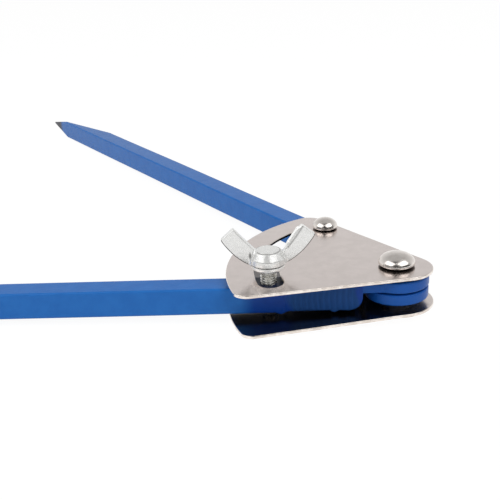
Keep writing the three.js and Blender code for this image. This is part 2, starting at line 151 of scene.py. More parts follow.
def grid_quads(index, closed_rows=False):
    """Quads over a grid of point numbers, of which each row is a closed loop.

    They join point (i, j) to its neighbours in the row and in the next row. The last row is only
    joined to the first where the rows are closed too.
    """
    after = np.roll(index, -1, axis=1)
    quads = np.stack([index, after, np.roll(after, -1, axis=0), np.roll(index, -1, axis=0)], -1)
    return (quads if closed_rows else quads[:-1]).reshape(-1, 4)


def shell(points, closed_rows=False):
    """Closed surface over a grid of points, of which each row is a closed loop.

    The first and the last row are closed with a fan to their middle, unless the rows close on
    each other.
    """
    rows, columns = points.shape[:2]
    index = np.arange(rows * columns).reshape(rows, columns)
    vertices, triangles = points.reshape(-1, 3), np.zeros((0, 3), int)
    if not closed_rows:
        after = np.roll(index, -1, axis=1)
        first, last = (np.full(columns, len(vertices) + end) for end in (0, 1))
        vertices = np.vstack([vertices, points[0].mean(0), points[-1].mean(0)])
        triangles = np.vstack([np.stack([after[0], index[0], first], -1),
                               np.stack([index[-1], after[-1], last], -1)])
    return turned_outwards(vertices, grid_quads(index, closed_rows), triangles)


def turned_outwards(vertices, quads, triangles):
    """The same faces, all turned over if the volume that they enclose comes out negative."""
    split = np.vstack([quads[:, [0, 1, 2]], quads[:, [0, 2, 3]], triangles])
    a, b, c = (vertices[split[:, k]] for k in range(3))
    if np.einsum("ij,ij->i", a, np.cross(b, c)).sum() < 0:
        quads, triangles = quads[:, ::-1], triangles[:, ::-1]
    return vertices, quads, triangles


def revolved(profile, steps, centre=(0, 0), wobble=None, closed=False):
    """Profile of (radius, height) turned about an upright axis: (r cos t, r sin t, z)."""
    angle = np.linspace(0, 2 * pi, steps, endpoint=False)
    radius, height = (values[:, None] * np.ones(steps) for values in np.asarray(profile, float).T)
    if wobble is not None:
        radius, height = wobble(radius, height, angle)
    x, y = centre[0] + radius * np.cos(angle), centre[1] + radius * np.sin(angle)
    return shell(np.stack([x, y, height], -1), closed_rows=closed)


def bent(curve, t):
    """Quadratic curve of three points at the parameters t."""
    start, middle, end = np.array(curve)
    t = t[:, None]
    return start * (1 - t) ** 2 + middle * 2 * t * (1 - t) + end * t ** 2


def smooth_profile(corners, radii, steps):
    """Open polyline of (radius, height) whose inner corners are rounded by quadratic curves."""
    corners = np.asarray(corners, float)
    parts = [corners[:1]]
    for before, corner, after, radius in zip(corners[:-2], corners[1:-1], corners[2:], radii):
        ends = [corner + side * min(0.5, radius / np.linalg.norm(side))
                for side in (before - corner, after - corner)]
        parts.append(bent([ends[0], corner, ends[1]], np.linspace(0, 1, steps)))
    return np.vstack([*parts, corners[-1:]])


def rounded_section(low_a, high_a, low_b, high_b, radius, corner_steps, side_steps):
    """Rounded rectangles, one for each station: four quarter circles joined by straight sides.

    The bounds and the radius are arrays over the stations. The sides come in the order low b,
    high a, high b, low a, and side_steps says into how many pieces each one is divided.
    """
    quarter = np.linspace(0, pi / 2, corner_steps + 1)
    centres_a = [high_a - radius, high_a - radius, low_a + radius, low_a + radius]
    centres_b = [low_b + radius, high_b - radius, high_b - radius, low_b + radius]
    arcs, loop = [], []
    for turn, centre_a, centre_b in zip(range(-1, 3), centres_a, centres_b):
        angle = quarter + turn * pi / 2
        arcs.append(np.stack([centre_a[:, None] + radius[:, None] * np.cos(angle),
                              centre_b[:, None] + radius[:, None] * np.sin(angle)], -1))
    for k, (before, after) in enumerate(zip(arcs, arcs[1:] + arcs[:1])):
        steps = side_steps[(k + 1) % 4]
        share = (np.arange(1, steps) / steps)[None, :, None]
        loop += [before, before[:, -1:] * (1 - share) + after[:, :1] * share]
    return np.concatenate(loop, axis=1)


def between(value, low, high):
    """Smooth step from 0 at low to 1 at high."""
    t = np.clip((np.asarray(value, float) - low) / (high - low), 0, 1)
    return t * t * (3 - 2 * t)


def within(value, rise_start, rise_end, fall_start, fall_end):
    """Smooth plateau of 1 between a rise and a fall."""
    return between(value, rise_start, rise_end) * (1 - between(value, fall_start, fall_end))


def near(value, width, *places):
    """Straight flanks that rise to 1 at each of some places and have a width each."""
    distance = np.min([np.abs(value - place) for place in places], axis=0)
    return np.clip(1 - distance / width, 0, 1)


def ripple(x, y, seed):
    """Irregular wave between about -1 and 1: a sum of five sines of unrelated lengths."""
    sines, usual_peak = 5, 2.5
    random = np.random.default_rng(seed)
    total = 0
    for _ in range(sines):
        fx, fy, phase = random.uniform(-1, 1), random.uniform(-1, 1), random.uniform(0, 2 * pi)
        total = total + np.sin(x * fx + y * fy + phase)
    return total / usual_peak


def ripple_round(angle, rate, seed):
    """The same wave, read along a circle whose radius is the rate."""
    return ripple(np.cos(angle) * rate, np.sin(angle) * rate, seed)


# ---- pieces

def joined(shells):
    """Points of several shells in one array, and all their faces in one list."""
    faces, start = [], 0
    for points, quads, triangles in shells:
        faces += (quads + start).tolist() + (triangles + start).tolist()
        start += len(points)
    return np.vstack([points for points, _, _ in shells]), faces


def new_mesh(name, points, faces):
    """A mesh from an array of points and a list of faces."""
    mesh = bpy.data.meshes.new(name)
    mesh.from_pydata(points.tolist(), [], faces)
    mesh.update()
    return mesh


def linked(name, data):
    """A new object of the scene for a mesh, a lamp or a camera."""
    shown = bpy.data.objects.new(name, data)
    bpy.context.scene.collection.objects.link(shown)
    return shown


def piece(name, shells, home, material, marks, sharp):
    """One mesh object in the row frame, from shells in the level frame."""
    level, faces = joined(shells)
    finished(name, new_mesh(name, row(level), faces), level, home, material, marks, sharp)


def finished(name, mesh, level, home, material, marks, sharp):
    """Object for a mesh, with its marks, its shading, its material and its place on a body.

    home is the node that it replaces, the body and the material slot, which is not used. marks is a function
    from the level points to named values for each vertex, which the materials read as attributes.
    Faces that meet at more than sharp degrees keep a hard edge.
    """
    node, body, slot = home
    for label, values in (marks(level) if marks else {}).items():
        layer = mesh.attributes.new(label, "FLOAT", "POINT")
        layer.data.foreach_set("value", np.asarray(values, np.float32))
    mesh.shade_smooth()
    mesh.set_sharp_from_angle(angle=radians(sharp))
    mesh.materials.append(material)
    shown = linked(name, mesh)
    weighted = shown.modifiers.new("flat faces", "WEIGHTED_NORMAL")
    weighted.keep_sharp = True
    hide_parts(node)
    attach(shown, body)


# ---- legs

def leg_axes(angle, side):
    """Rows that turn (reach, sideways, height) of a leg into a level point.

    The leg lies at that angle, and its outer side is towards greater angles where side is 1.
    """
    c, s = cos(angle), sin(angle)
    return np.array([[-c, s, 0], [side * s, side * c, 0], [0, 0, 1]])


def leg_reaches(swaged):
    """Stations along a bar: close together at the shoulder, in the swaged root and at the point."""
    shoulder = SHOULDER + SHOULDER_ROUND * (1 - np.cos(np.linspace(0, pi / 2, 12)))
    root = np.arange(16.5, 45, 0.22 if swaged else 2.0)
    bar = np.linspace(46, 255, 42)
    slant = [np.linspace(258, 264, 9), np.linspace(268, 300, 17), np.linspace(303, 311, 17)]
    point = np.linspace(312, LEG_LENGTH, 24)
    neck = [2.2, 3.5, 5, 6.5, 8, 10, SHOULDER - 0.05]
    return np.concatenate([neck, shoulder, root, bar, *slant, point])


def leg_bar(eye_low, eye_high, upper):
    """The bar with its neck: a rounded rectangle carried along the reach.

    Sideways it runs from the inner face to the outer face, which slants in from SLANT_START and
    again from NIB_START. Its height is the eye's at the neck, opens along a quarter circle at the
    shoulder, and closes evenly on the point from NIB_START on. The neck starts on a circle of
    radius NECK_START inside the eye.
    """
    nib_curve, round_limit, corner_steps = 1.1, 0.42, 5
    side_steps = (3, 8 if upper else 2, 3, 1)
    s = leg_reaches(upper)
    neck = s < SHOULDER
    past = np.clip(SHOULDER + SHOULDER_ROUND - s, 0, SHOULDER_ROUND)
    curve = SHOULDER_ROUND - np.sqrt(SHOULDER_ROUND ** 2 - past ** 2)
    nib = np.clip((s - NIB_START) / (LEG_LENGTH - NIB_START), 0, 1)
    slant = np.clip((s - SLANT_START) / (NIB_START - SLANT_START), 0, 1)
    outer = LEG_OUTER + (NIB_ROOT - LEG_OUTER) * slant + (NIB_END - NIB_ROOT) * nib
    inner = np.maximum(np.sqrt(np.clip(NECK_START ** 2 - s ** 2, 0, None)), LEG_INNER)
    low = np.where(neck, eye_low, curve if upper else 0.0)
    high = np.where(neck, min(eye_high, LEG_HEIGHT), LEG_HEIGHT - (0 if upper else curve))
    low = low + (NIB_MIDDLE - NIB_HALF - low) * nib
    high = high + (NIB_MIDDLE + NIB_HALF - high) * nib ** nib_curve
    radius = np.minimum(LEG_ROUND, np.minimum(outer - inner, high - low) * round_limit)
    radius = np.where(neck, NECK_ROUND, radius)
    section = rounded_section(inner, outer, low, high, radius, corner_steps, side_steps)
    points = np.concatenate([np.broadcast_to(s[:, None, None], section.shape[:2] + (1,)), section], -1)
    if upper:
        points = swaged_root(points)
    return hand_forged(points)


def die_ribs(reach, height):
    """Upright ribs of the die, from 0 to 1: a sine along the reach that sways with the height."""
    sway, sway_rate = 0.5, 0.9
    return 0.5 + 0.5 * np.sin(2 * pi * reach / RIB_PITCH + sway * np.sin(height * sway_rate))


def swaged_root(points):
    """The root of the front leg, pressed in a ribbed die.

    The outer side is pushed in evenly, by the ribs and by a ripple. The underside is raised in two
    stretches, and the metal has gone into the two pointed burrs on its outer edge.
    """
    push, rib_depth, rough, near_rise, far_rise, burr_power = 0.1, 0.2, 0.05, 0.2, 0.3, 0.9
    s, side, z = np.moveaxis(points, -1, 0)
    pressed = within(s, 14.5, 15.5, 39.6, 41) * between(side, 8.8, 10.0)
    side = side - pressed * (push + rib_depth * die_ribs(s, z) + rough * ripple(s * 2, z * 1.3, 3))
    under = 1 - between(z, 0.0, 3.5)
    raised = (within(s, 18.5, 19.5, 21.2, 22.4) * near_rise + within(s, 23.4, 24.8, 39.2, 41) * far_rise)
    burrs = sum(near(s, half, reach) ** burr_power * drop for reach, half, drop in BURRS)
    z = z + under * (raised - between(side, 4.5, 8.5) * burrs)
    return np.stack([s, side, z], -1)


def hand_forged(points):
    """Slow hand-made unevenness: faces wander along the bar, and no more at the point."""
    s, side, z = np.moveaxis(points, -1, 0)
    wander = 0.04 * (1 - between(s, 285, 310))
    side = side + wander * ripple(s * 0.06, z * 0.2, 11)
    z = z + wander * ripple(s * 0.05, side * 0.2, 12)
    return np.stack([s, side, z], -1)


def leg_eye(low, high, seed):
    """The flat round eye: a ring with broken edges whose rim wanders by a tenth of a millimetre."""
    middle = (EYE_HOLE + EYE_RADIUS) / 2
    rim = smooth_profile([(middle, low), (EYE_RADIUS, low), (EYE_RADIUS, high), (middle, high)],
                         [EYE_ROUND, EYE_ROUND], 7)
    profile = np.vstack([[(EYE_HOLE, low)], rim, [(EYE_HOLE, high)]])

    def wander(radius, height, angle):
        far = between(radius, 8, 10.5)
        swell, lift = 0.09 * ripple_round(angle, 4, seed + 1), 0.05 * ripple_round(angle, 3, seed)
        return radius + far * swell, height + far * lift

    return revolved(profile, 128, wobble=wander, closed=True)


def leg_marks(to_leg, eye_low, eye_high, upper):
    """Marks of a leg, by reach and height.

    edge: rounded corners. bare: the point. swaged: the pressed root. rib: the ribs of the press.
    A mark of painted shade under the top plate, where little light comes. seat: deeper painted shade on its
    top and underside there.
    """
    def marks(level):
        s, side, z = (level @ to_leg).T
        edge = near(side, 0.9, LEG_INNER, LEG_OUTER) * near(z, 0.9, 0, LEG_HEIGHT)
        rim = near(np.hypot(s, side), 0.6, EYE_RADIUS) * near(z, 0.8, eye_low, eye_high)
        uneven = s + 1.3 * ripple(s * 0.7, z * 0.9, 21)
        swaged = within(uneven, 12.5, 15, 35, 42)
        # Painted shade under the top plate, where little light comes; weaker on the eye.
        sheltered = (1 - between(uneven, 51, 56)) * np.where(s < SHOULDER, 0.6, 1.0)
        # Where the plate covers the bar: deeper painted shade on its top and underside.
        covered = (1 - between(s, 56, 60) if upper else 1 - between(s, 49, 53)) * (s > SHOULDER)
        top = between(z, 9.4, 9.9) * (side < LEG_OUTER - 0.2)
        under = (z < 0.5) * (side < LEG_OUTER - 0.5)
        level_face = np.maximum(top, under) if upper else 1.0
        return {"edge": np.maximum(edge, rim * (s < SHOULDER)), "bare": between(s, 311, 319),
                "swaged": swaged, "rib": swaged * die_ribs(s, z), "sheltered": sheltered,
                "seat": covered * level_face}
    return marks


def bored(shells, centre, radius):
    """Shells joined into one and bored through by an upright cylinder."""
    cylinder = revolved([(radius, -LEG_HEIGHT / 2), (radius, LEG_HEIGHT * 2)], 64, centre)
    blank, drill = (linked(name, new_mesh(name, *joined(parts)))
                    for name, parts in (("blank", shells), ("drill", [cylinder])))
    cut = blank.modifiers.new("bore", "BOOLEAN")
    cut.operation, cut.solver, cut.use_self, cut.object = "DIFFERENCE", "EXACT", True, drill
    bpy.context.view_layer.update()
    evaluated = blank.evaluated_get(bpy.context.evaluated_depsgraph_get())
    result = bpy.data.meshes.new_from_object(evaluated)
    for made in (blank, drill):
        bpy.data.objects.remove(made)
    return result


def leg(name, angle, side, eye, upper, hole, hole_radius, body, material):
    """A whole leg: bar, neck and eye joined, with the hole for the screw or for the rear rivet."""
    axes = leg_axes(angle, side)
    bar = shell(leg_bar(*eye, upper) @ axes)
    centre = np.array([*hole, 0.0]) @ axes
    mesh = bored([bar, leg_eye(*eye, 21 if upper else 31)], centre[:2], hole_radius)
    level = np.zeros(len(mesh.vertices) * 3)
    mesh.vertices.foreach_get("co", level)
    level = level.reshape(-1, 3)
    mesh.vertices.foreach_set("co", row(level).ravel())
    mesh.name = name
    mesh.materials.clear()
    marks = leg_marks(axes.T, *eye, upper)
    finished(name + "_forged", mesh, level, (name, body, "blue_paint"), material, marks, 32)


# ---- plates

def arc(centre, radius, start, end, steps):
    """Points on a circle from one angle to another, in ordinary angles from +X."""
    angle = np.linspace(start, end, steps)
    return np.asarray(centre) + radius * np.stack([np.cos(angle), np.sin(angle)], -1)


def plate_outline(plan):
    """Outline of a plate, as a function of how far it is moved inwards.

    Tangent arcs: a nose around the pivot, two corner rounds and the outer arc. The straight edges
    lie between them. Moving inwards only shortens the radii.
    """
    centre, nose_centre = np.array(plan["centre"]), np.array(plan["nose"])
    edges = plan["front_edge"], REAR_EDGE
    radii = plan["front_corner"], REAR_CORNER
    normals = polar(1, edges[0] - pi / 2), polar(1, edges[1] + pi / 2)
    corners = []
    for normal, edge, radius in zip(normals, edges, radii):
        sideways = plan["nose_radius"] + (nose_centre - centre) @ normal - radius
        along = sqrt((plan["radius"] - radius) ** 2 - sideways ** 2)
        corners.append(centre + polar(along, edge) + normal * sideways)
    bearing = [atan2(normal[1], normal[0]) for normal in normals]
    turns = [atan2(*(corner - centre)[::-1]) for corner in corners]
    edge_steps = 24
    edge_share = (np.arange(1, edge_steps) / edge_steps)[:, None]

    def outline(inset):
        nose = arc(nose_centre, plan["nose_radius"] - inset, bearing[0], bearing[1], 48)
        rear_round = arc(corners[1], radii[1] - inset, bearing[1], turns[1], 18)
        rim = arc(centre, plan["radius"] - inset, turns[1], turns[0] + 2 * pi, 96)
        front_round = arc(corners[0], radii[0] - inset, turns[0] + 2 * pi, bearing[0] + 2 * pi, 18)
        rear_straight = nose[-1] * (1 - edge_share) + rear_round[0] * edge_share
        front_straight = front_round[-1] * (1 - edge_share) + nose[0] * edge_share
        return np.vstack([nose, rear_straight, rear_round[:-1], rim[:-1], front_round, front_straight])

    return outline


def slot_outline(inset):
    """Outline of the arc slot, widened by inset: two arcs about the pivot and two round ends."""
    half = SLOT_HALF + inset
    front, rear = pi - SLOT_FRONT, pi - SLOT_REAR
    return np.vstack([
        arc((0, 0), SLOT_RADIUS + half, rear, front, 56)[:-1],
        arc(polar(SLOT_RADIUS, SLOT_FRONT), half, front, front + pi, 22)[:-1],
        arc((0, 0), SLOT_RADIUS - half, front, rear, 50)[:-1],
        arc(polar(SLOT_RADIUS, SLOT_REAR), half, rear - pi, rear, 22)[:-1]])


def hole_outline(centre, radius):
    """A round hole, widened by inset."""
    return lambda inset: arc(centre, radius + inset, 0, 2 * pi, 49)[:-1]


def inside(points, loop):
    """Which flat points lie inside a closed loop, by counting the edges to the right of each."""
    x, y = points[:, :1], points[:, 1:]
    x0, y0 = loop.T
    x1, y1 = np.roll(loop, -1, axis=0).T
    crosses = (y0 > y) != (y1 > y)
    with np.errstate(divide="ignore", invalid="ignore"):
        reach = x0 + (y - y0) * (x1 - x0) / (y1 - y0)
    return (crosses & (x < reach)).sum(1) % 2 == 1


def plate_face(loops):
    """Flat triangles between an outline and its holes, with inner points on a square lattice."""
    lattice_x, lattice_y, spacing, clearance, precision = (-64, 14), (-26, 56), 3.0, 1.35, 1e-6

    def on_sheet(points):
        return inside(points, loops[0]) & ~np.any([inside(points, loop) for loop in loops[1:]], axis=0)

    rim = np.vstack(loops)
    lattice = np.meshgrid(np.arange(*lattice_x, spacing), np.arange(*lattice_y, spacing))
    lattice = np.stack(lattice, -1).reshape(-1, 2)
    distance = np.min(np.linalg.norm(lattice[:, None] - rim[None], axis=-1), axis=1)
    points = np.vstack([rim, lattice[on_sheet(lattice) & (distance > clearance)]])
    edges, start = [], 0
    for loop in loops:
        index = np.arange(start, start + len(loop))
        edges += np.stack([index, np.roll(index, -1)], -1).tolist()
        start += len(loop)
    found = delaunay_2d_cdt([Vector(point) for point in points], edges, [], 0, precision)
    flat = np.array([list(vertex) for vertex in found[0]])
    triangles = np.array([list(face) for face in found[2]])
    return flat, triangles[on_sheet(flat[triangles].mean(1))]


def plate_shell(outlines, low, high, lower):
    """Sheet between two heights: rims carried round every outline, and a face above and below.

    The section of a rim is (inset, height): rolled over above, as the punch leaves it, and with a
    slightly drawn burr below. Both plates are dented, and the lower one is sprung.
    """
    section = np.array([(0.34, high), (0.2, high - 0.02), (0.09, high - 0.08), (0.02, high - 0.2),
                        (0.0, high - 0.36), (0.0, low + 0.3), (0.02, low + 0.1), (0.1, low)])
    vertices, quads, triangles, start = [], [], [], 0
    for number, outline in enumerate(outlines):
        rings = np.stack([np.column_stack([outline(inset), np.full(len(outline(0.0)), height)])
                          for inset, height in section])
        index = np.arange(rings[..., 0].size).reshape(rings.shape[:2]) + start
        quads.append(grid_quads(index)[:, [0, 3, 2, 1]])
        vertices.append(sheared(rings, low, number).reshape(-1, 3))
        start += index.size
    for inset, height, up in ((section[0, 0], high, True), (section[-1, 0], low, False)):
        flat, faces = plate_face([outline(inset) for outline in outlines])
        a, b, c = (flat[faces[:, k]] for k in range(3))
        turn = (b - a)[:, 0] * (c - a)[:, 1] - (b - a)[:, 1] * (c - a)[:, 0]
        faces = np.where(((turn > 0) == up)[:, None], faces, faces[:, ::-1])
        vertices.append(np.column_stack([flat, np.full(len(flat), height)]))
        triangles.append(faces + start)
        start += len(flat)
    x, y, z = np.vstack(vertices).T
    z = z + dents(x, y, 52) - spring_drop(x, y) if lower else z + dents(x, y, 51)
    return np.column_stack([x, y, z]), np.vstack(quads), np.vstack(triangles)


def sheared(rings, low, number):
    """The cut edge as the punch tore it: the lower part wanders in and out, away from the pivot."""
    tear, first_seed, on_axis = 0.05, 40, 1e-6
    x, y, z = np.moveaxis(rings, -1, 0)
    lower = 1 - between(z, low + 0.05, low + 0.75)
    along = np.arange(rings.shape[1]) * 0.9
    torn = tear * lower * ripple(along[None, :], z * 3, first_seed + number)
    stretch = 1 + torn / np.maximum(np.hypot(x, y), on_axis)
    return np.stack([x * stretch, y * stretch, z], -1)


def dents(x, y, seed):
    """Slow dents of a sheet, two hundredths of a millimetre deep."""
    depth, rate = 0.02, 0.11
    return depth * ripple(x * rate, y * rate, seed)


def spring_drop(x, y):
    """How far the bottom plate turns down beyond a line beside the rivets.

    It is tan(angle) times a softened max(distance - start, 0), where the distance is measured
    from the line through both rivets, towards the front leg.
    """
    distance = -x * sin(RIVET_ANGLE) - y * cos(RIVET_ANGLE) - BEND_START
    return tan(BEND_ANGLE) * (distance + np.sqrt(distance ** 2 + BEND_SOFTNESS ** 2)) / 2


def plate_marks(outlines, lower):
    """Marks of a plate: edge by nearness to an outline, and painted shade where little light comes.

    That is the wall of the slot, or the upper face of the lower plate but for its free nose.
    """
    batch, margin = 2000, 0.15

    def marks(level):
        lines = np.vstack([outline(0.0) for outline in outlines])
        nearest = np.full(len(level), np.inf)
        for start in range(0, len(level), batch):
            part = level[start:start + batch, None, :2] - lines[None]
            nearest[start:start + batch] = np.hypot(part[..., 0], part[..., 1]).min(1)
        x, y, z = level.T
        edge = 1 - between(nearest, 0.12, 0.3)
        if lower:
            # Painted shade on the upper face of the lower plate, but for its free nose.
            upper_face = z + spring_drop(x, y) > sum(BOTTOM_PLATE) / 2
            return {"edge": edge, "sheltered": upper_face * (1 - between(x, 9.3, 11.0))}
        # Painted shade on the wall of the slot.
        turn = np.arctan2(y, -x)
        slot_wall = ((np.abs(np.hypot(x, y) - SLOT_RADIUS) < SLOT_HALF + margin)
                     & (z < TOP_PLATE[1] - margin) & (turn > SLOT_FRONT - margin)
                     & (turn < SLOT_REAR + margin))
        return {"edge": edge * ~slot_wall, "sheltered": slot_wall}
    return marks


def plate(name, heights, outlines, lower, material):
    """One of the two sheet plates."""
    sheet, marks = plate_shell(outlines, *heights, lower), plate_marks(outlines, lower)
    piece(name + "_sheet", [sheet], (name, "frame", "nickel_plate"), material, marks, 40)


# ---- rivets

def rivet(name, centre, material, shank, shoulder, head, rim_rise, head_height):
    """Rivet turned about its axis: domed head, shoulder between the plates, hammered lower end.

    The dome follows radius head * cos(t) and height dome * sin(t) ** 0.98 from the widest line of
    the head up. Below that line a quadratic curve draws the head in towards its seat.
    """
    seat, under = TOP_PLATE[1] + SEAT_GAP, BOTTOM_PLATE[0] - SEAT_GAP
    rim, tail = seat + rim_rise, head * TAIL_SHARE
    lower = smooth_profile([(tail * 0.2, TAIL_END), (tail * TAIL_FLAT_SHARE, TAIL_END), (tail, TAIL_EDGE),
                            (tail, under), (shank, under)], [0.8, 0.5, 0.25], 6)
    grip_low, grip_high = BOTTOM_PLATE[1] + SHOULDER_GAP, TOP_PLATE[0] - SHOULDER_GAP
    grip = [(shank, grip_low), (shoulder, grip_low), (shoulder, grip_high), (shank, grip_high), (shank, seat)]
    tuck = bent([(head - HEAD_TUCK, seat), (head, rim - rim_rise * 0.4), (head, rim)], np.linspace(0, 1, 10))
    t = np.linspace(0, pi / 2, 40)[1:-1]
    dome = np.column_stack([head * np.cos(t), rim + (head_height - rim_rise) * np.sin(t) ** 0.98])
    profile = np.vstack([lower, grip, tuck, dome])

    def hammered(radius, height, angle):
        uneven = 0.12 * ripple_round(angle, 3, 61)
        return radius + (height < under) * between(radius, shank, tail) * uneven, height

    # Painted shade on the head just below its widest line.
    def marks(level):
        z = level[:, 2]
        return {"sheltered": between(-z, 0.1 - rim, 0.35 - rim) * (z > TOP_PLATE[0])}

    rivet_shell = revolved(profile, 128, centre, hammered)
    piece(name + "_peened", [rivet_shell], (name, "frame", "polished_nickel"), material, marks, 50)


# ---- wing screw

def wing_hub():
    """Hub of the cast head, turned: tapered foot, band, cone, and a low boss on a flat top.

    The profile starts and ends on the axis, and holds the blind socket of the stud.
    """
    top, roof = HUB_HEIGHT, HUB_FOOT + SOCKET_HEIGHT
    corners = [(SOCKET_RADIUS, 0), (4.0, 0.02), (6.0, 1.45), (6.02, 2.55), (5.6, 2.85), (6.2, 3.1),
               (6.22, 5.1), (4.75, top - 0.05), (4.2, top - 0.1), (3.95, top + 0.2), (AXIS_GAP, top + 0.25)]
    rounds = [0.15, 0.6, 0.15, 0.12, 0.15, 0.35, 0.35, 0.25, 0.2]
    outside = smooth_profile(np.array(corners) + (0, HUB_FOOT), rounds, 7)
    return revolved([(AXIS_GAP, roof), (SOCKET_RADIUS, roof), *outside], 128)


def wing(turn, lower_curve, upper_curve, shaded_columns, ridge, has_dark_spot):
    """One wing: a rounded slab carried from inside the hub to its square outer end.

    It spans from its lower to its upper curve. Half its thickness is WING_HALF, plus a round
    fillet where it meets the hub, whose radius hub follows the corners of the profile. The narrow
    inner side is raised to a ridge half way through the thickness. The end is rounded by the last
    sections, which are inset by r (1 - cos t) and stand back by r (1 - sin t).

    Returned with two marks for each vertex: painted shade along the listed columns, with a dark spot in the
    fillet beside the hub, and a painted highlight on the front half of the inner side.
    """
    round_steps, outward = 6, np.array([0.71, 0.70])
    u = np.concatenate([np.linspace(0, 0.42, 30), np.linspace(0.45, 0.96, 22), np.full(round_steps, 1.0)])
    t = np.concatenate([np.zeros(len(u) - round_steps), np.linspace(0, pi / 2, round_steps)])
    inset = WING_END * (1 - np.cos(t))
    stand_back = (np.where(u == 1, WING_END * (1 - np.sin(t)), 0))[:, None] * outward
    lower, upper = (bent(curve, u) - stand_back for curve in (lower_curve, upper_curve))
    length = np.linalg.norm(upper - lower, axis=1)
    across = (upper - lower) / length[:, None]
    half, edge = WING_HALF - inset, WING_EDGE - inset * 0.6
    section = rounded_section(inset, length - inset, -half, half, edge, 5, (8, 2, 8, 2))
    along, thick = section[..., 0], section[..., 1]
    swell = ridge * within(u, 0.12, 0.4, 0.86, 1.0)[:, None] * (1 - (thick / WING_HALF) ** 2)
    along = along + swell * np.clip((along - (length - inset)[:, None] + WING_EDGE) / WING_EDGE, 0, 1)
    reach, height = (lower[:, None, k] + across[:, None, k] * along for k in (0, 1))
    hub = np.interp(height, [0, 1.45, 3.1, 5.1, 7.6, 8.6], [4.0, 6.0, 6.2, 6.22, 4.75, 3.2])
    left_over = WING_FILLET - np.clip(reach - hub, 0, WING_FILLET)
    fillet = WING_FILLET - np.sqrt(WING_FILLET ** 2 - left_over ** 2)
    thick = thick * (1 + fillet / WING_HALF)
    crease, strip = np.zeros(reach.shape), np.zeros(reach.shape)
    # Painted line of shade along the listed columns, half as dark on the first six.
    corner_weight = np.where(np.array(shaded_columns) < 6, 0.5, 1.0)
    crease[:, shaded_columns] = between(reach[:, shaded_columns], 6.5, 7.3) * corner_weight
    # A dark spot in the fillet beside the hub, on the same mark as the painted shade.
    dark_spot = np.exp(-((reach - 6.3) / 0.4) ** 2 - ((height - 6.4) / 1.2) ** 2) * (thick * has_dark_spot > 0)
    # Painted highlight on the front half of the inner side.
    strip[:, 3:7] = between(reach[:, 3:7], 5.5, 7.0)
    marks = [np.append(values.ravel(), [0.0, 0.0]) for values in (np.maximum(crease, 0.9 * dark_spot), strip)]
    return shell(np.stack([reach, thick, height + HUB_FOOT], -1) @ turned(turn)), marks


def wing_head(centre, material):
    """The cast head: hub and two wings that differ as castings do, on the clamp hole.

    Painted shade is also laid on lines round the hub, given as (height, half width, weight). A painted
    highlight is on the foot of the hub and on the right wing.
    """
    # Lines of painted shade round the hub: at the groove, the top of the band and the edge of the top.
    lines = (2.85, 0.32, 1.0), (5.1, 0.22, 0.35), (HUB_HEIGHT - 0.02, 0.16, 0.6)
    hub, (right, right_marks), (left, left_marks) = wing_hub(), wing(**RIGHT_WING), wing(**LEFT_WING)
    height = hub[0][:, 2] - HUB_FOOT
    crease = sum(weight * near(height, width, at) for at, width, weight in lines)
    marks = {"crease": np.concatenate([crease, right_marks[0], left_marks[0]]),
             # Painted highlight on the foot of the hub.
             "strip": np.concatenate([1 - between(height, 2.4, 2.6), right_marks[1], np.zeros(len(left[0]))])}
    placed = [(points + (*centre, 0), quads, triangles) for points, quads, triangles in (hub, right, left)]
    home = "wing_head", "wing_screw", "cast_zinc"
    piece("wing_head_cast", placed, home, material, lambda level: marks, 38)


def screw_stud(centre, material):
    """The M6 stud: its radius is a rounded triangle wave of height minus turn, a right-hand helix.

    The wave runs from the root of the thread out by its depth. The stud narrows at its lower end.
    """
    steps_per_pitch, lead_length, end_share = 16, 0.9, 0.82
    steps = int((STUD_HIGH - STUD_LOW) / THREAD_PITCH * steps_per_pitch)
    z, a = np.meshgrid(np.linspace(STUD_LOW, STUD_HIGH, steps),
                       np.linspace(0, 2 * pi, 72, endpoint=False), indexing="ij")
    phase = (z / THREAD_PITCH - a / (2 * pi)) % 1
    wave = between(np.abs(phase - 0.5) * 2, 0.12, 0.88)
    lead = between(z, STUD_LOW, STUD_LOW + lead_length)
    radius = (STUD_ROOT + THREAD_DEPTH * wave) * (end_share + (1 - end_share) * lead)
    points = np.stack([centre[0] + radius * np.cos(a), centre[1] + radius * np.sin(a), z], -1)
    home = "screw_stud", "wing_screw", "zinc_thread"
    piece("screw_stud_thread", [shell(points)], home, material, None, 60)


# ---- materials

def given(made, **values):
    """A node with its values: names in small letters are settings, and the others are sockets."""
    for label, value in values.items():
        if label.islower():
            setattr(made, label, value)
        else:
            made.inputs[label.replace("_", " ")].default_value = value
    return made


def node(tree, kind, second=None, **values):
    """A new shader node. second is a number for its second socket.

    The nodes of a tree are laid out in columns, in the order in which they are made.
    """
    wide, high, rows = 220, 320, 5
    made = tree.nodes.new("ShaderNode" + kind)
    column, line = divmod(len(tree.nodes), rows)
    made.location = column * wide, -line * high
    if second is not None:
        made.inputs[1].default_value = second
    return given(made, **values)


def wire(tree, *links):
    """Links, each given as a source node, its socket, a target node and its socket."""
    for source, output, target, taken in links:
        tree.links.new(source.outputs[output], target.inputs[taken])


def colour_mix(tree):
    """A mix of two colours: factor on socket 0, colours on sockets 6 and 7, result on output 2."""
    return node(tree, "Mix", data_type="RGBA")


